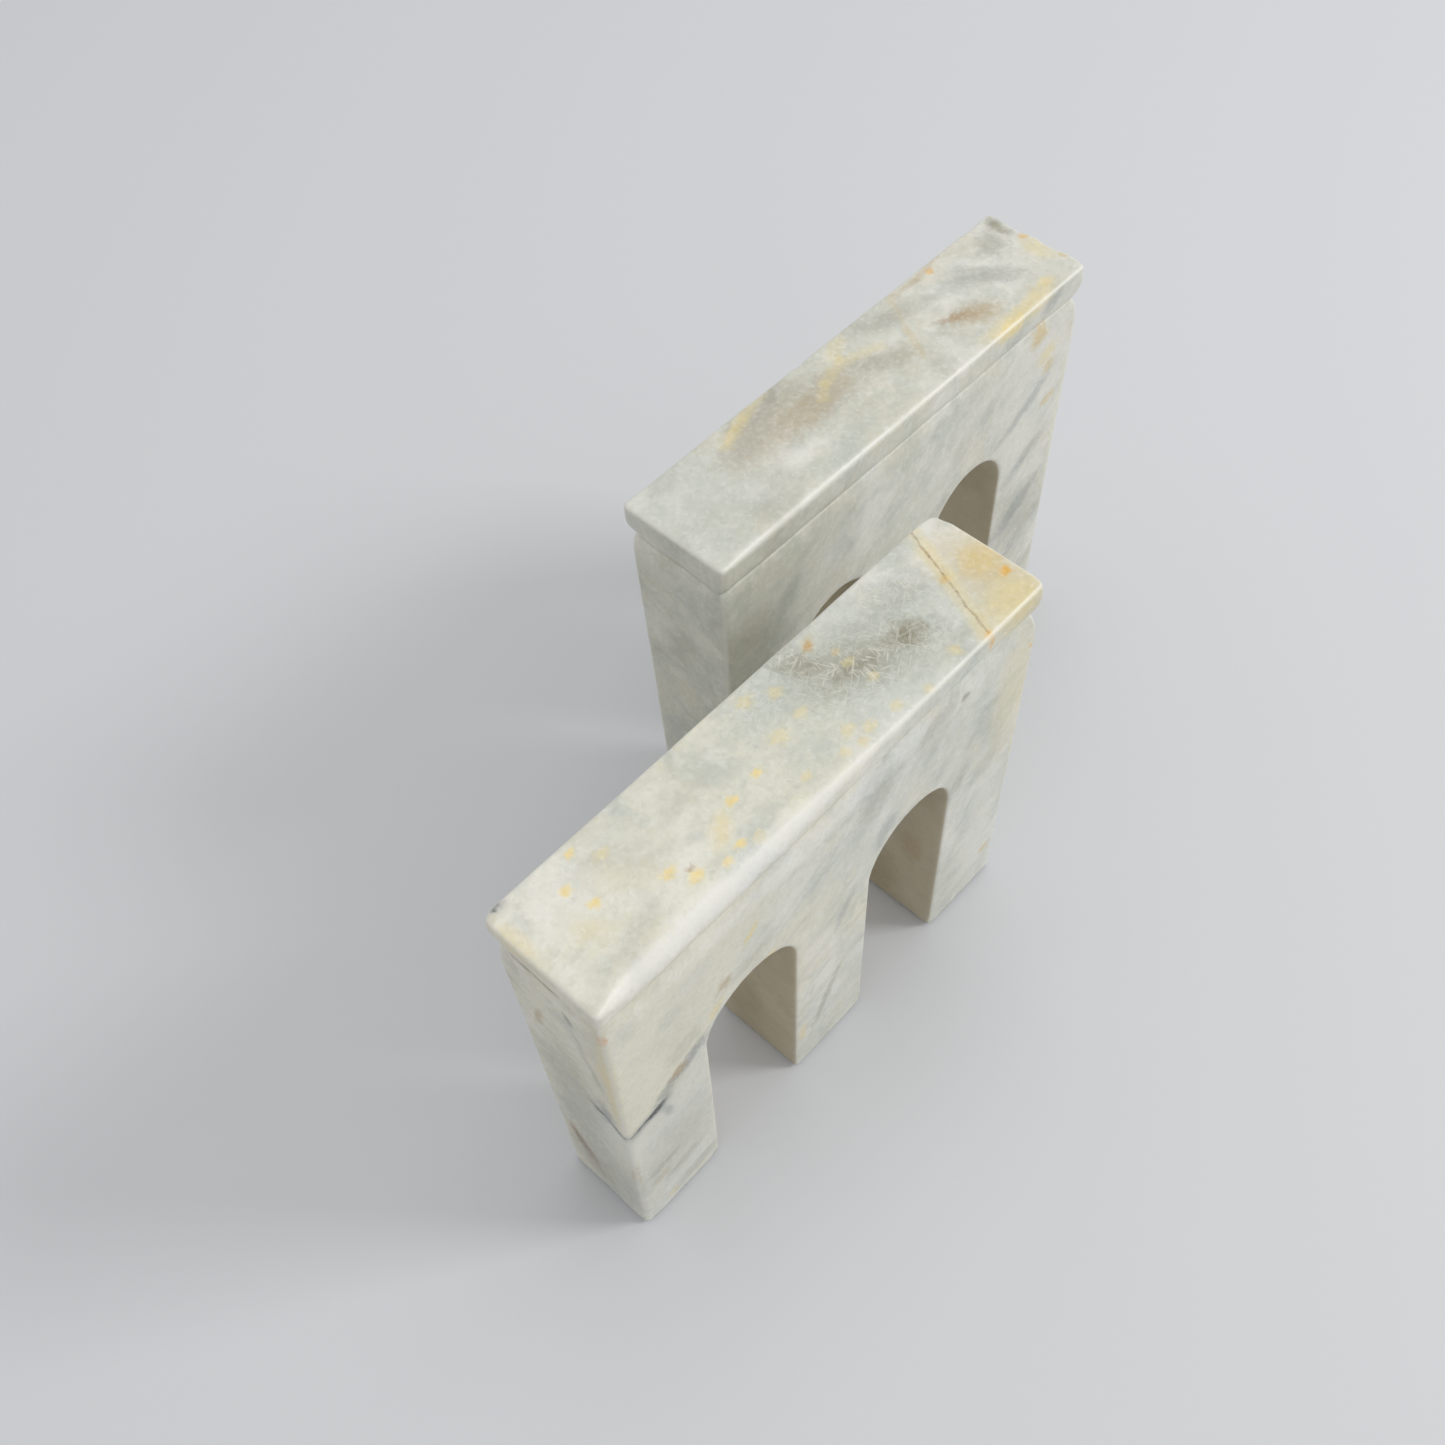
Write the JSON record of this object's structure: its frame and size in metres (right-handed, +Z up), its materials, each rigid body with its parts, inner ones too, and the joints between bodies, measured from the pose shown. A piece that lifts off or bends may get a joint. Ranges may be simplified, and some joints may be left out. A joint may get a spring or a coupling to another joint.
{
  "type": "book ends",
  "caption": "Pair of heavy free-standing stone book ends, each a capped slab on piers with round-headed arches, with thin felt pads under the feet.",
  "frame": {"origin": "under the middle of the pair's box at rest, on the surface that it stands on", "axes": "+Z up; +X along the length of both ends; +Y from the front end, across the book space, to the rear end"},
  "size_m": [0.361, 0.1359, 0.1945],
  "materials": {
    "stone": "honed pale marble, cream and grey-green clouds, grey veins and ochre flecks",
    "felt": "dark brown pressed felt"
  },
  "bodies": {
    "front_end": {"front_block": "stone", "front_cap": "stone", "front_left_pad": "felt", "front_middle_pad": "felt", "front_right_pad": "felt"},
    "rear_end": {"rear_block": "stone", "rear_cap": "stone", "rear_left_pad": "felt", "rear_middle_pad": "felt", "rear_right_pad": "felt"}
  },
  "joints": [
    {"name": "book_space", "type": "slide", "parent": "front_end", "child": "rear_end", "axis": [0, 1, 0], "range_m": [-0.034, 0.264]}
  ]
}
